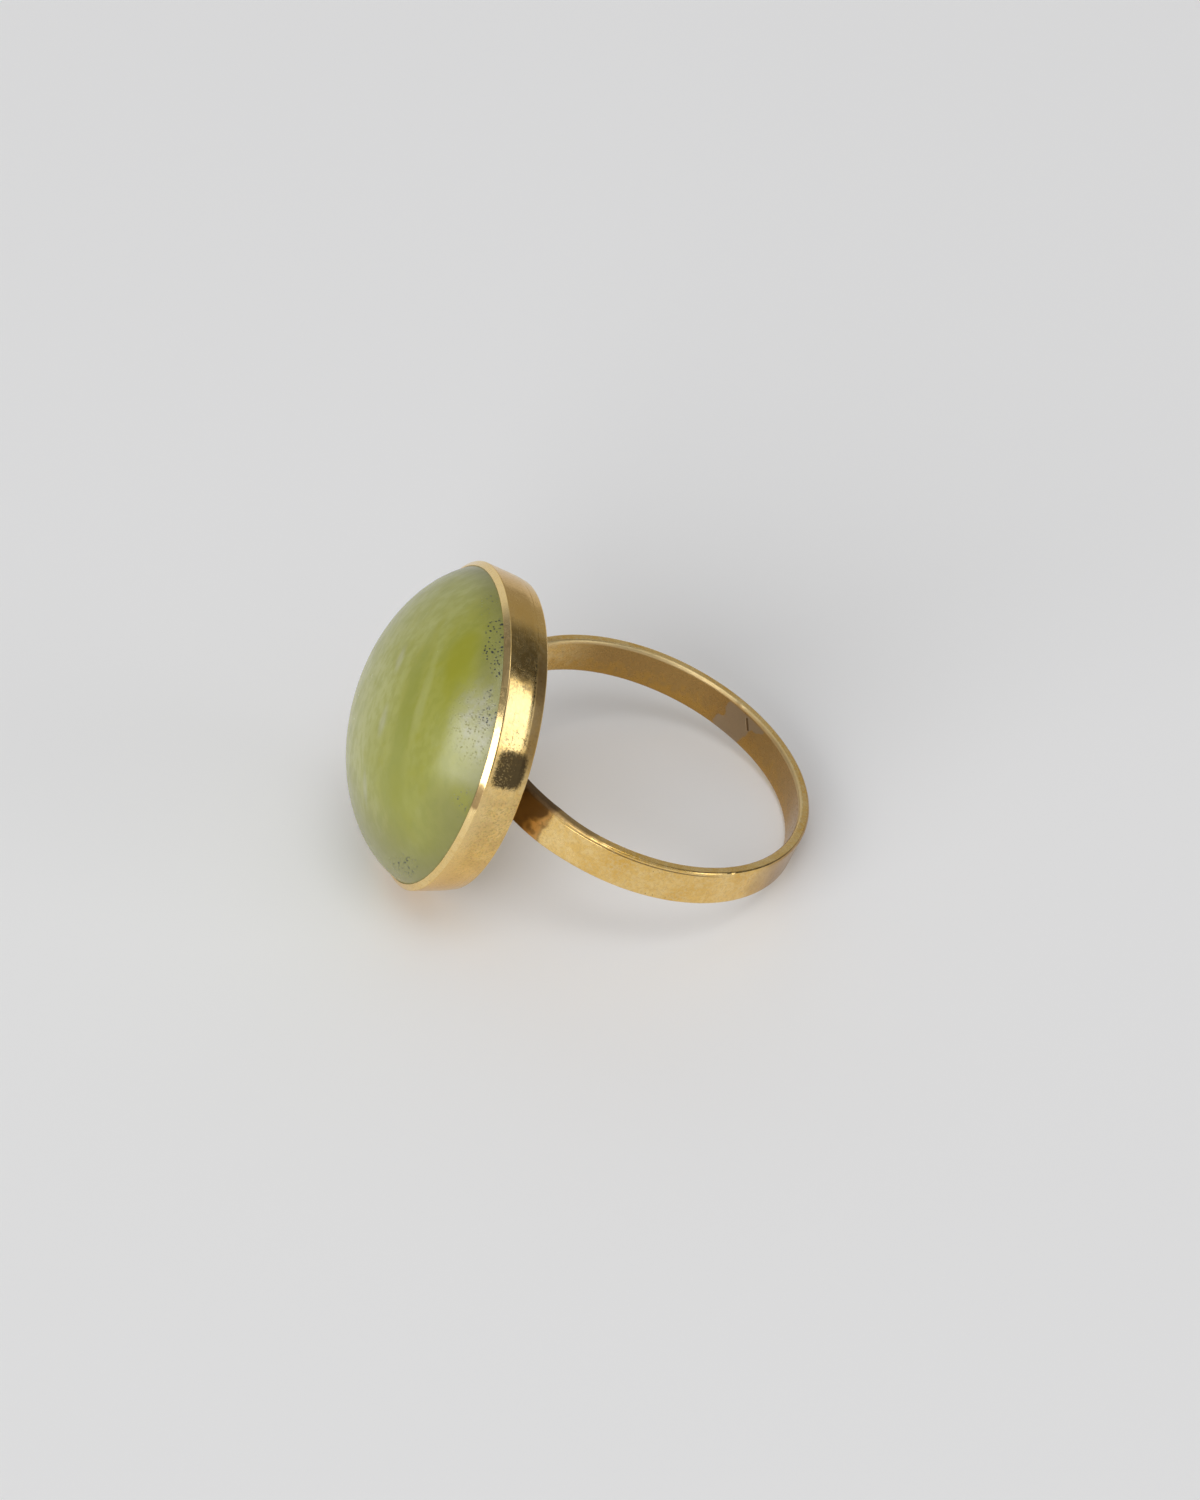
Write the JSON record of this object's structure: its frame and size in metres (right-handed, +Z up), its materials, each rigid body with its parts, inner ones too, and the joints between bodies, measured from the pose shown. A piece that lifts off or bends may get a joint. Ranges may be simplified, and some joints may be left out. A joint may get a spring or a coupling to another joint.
{
  "type": "jade ring",
  "caption": "Finger ring lying on its side: a high oval jade cabochon in a plain closed gold collet on a round band of flat strip.",
  "frame": {"origin": "middle of the bounding box at the table that the ring lies on", "axes": "+Z up from the table; the stone faces -X and upwards, the band reaches towards +X, and XZ is the plane of symmetry"},
  "size_m": [0.0242, 0.0184, 0.0169],
  "materials": {
    "gold": "worn polish",
    "jade": "waxy polish"
  },
  "bodies": {
    "root": {"gold_setting": "gold", "jade_cabochon": "jade"}
  },
  "joints": []
}
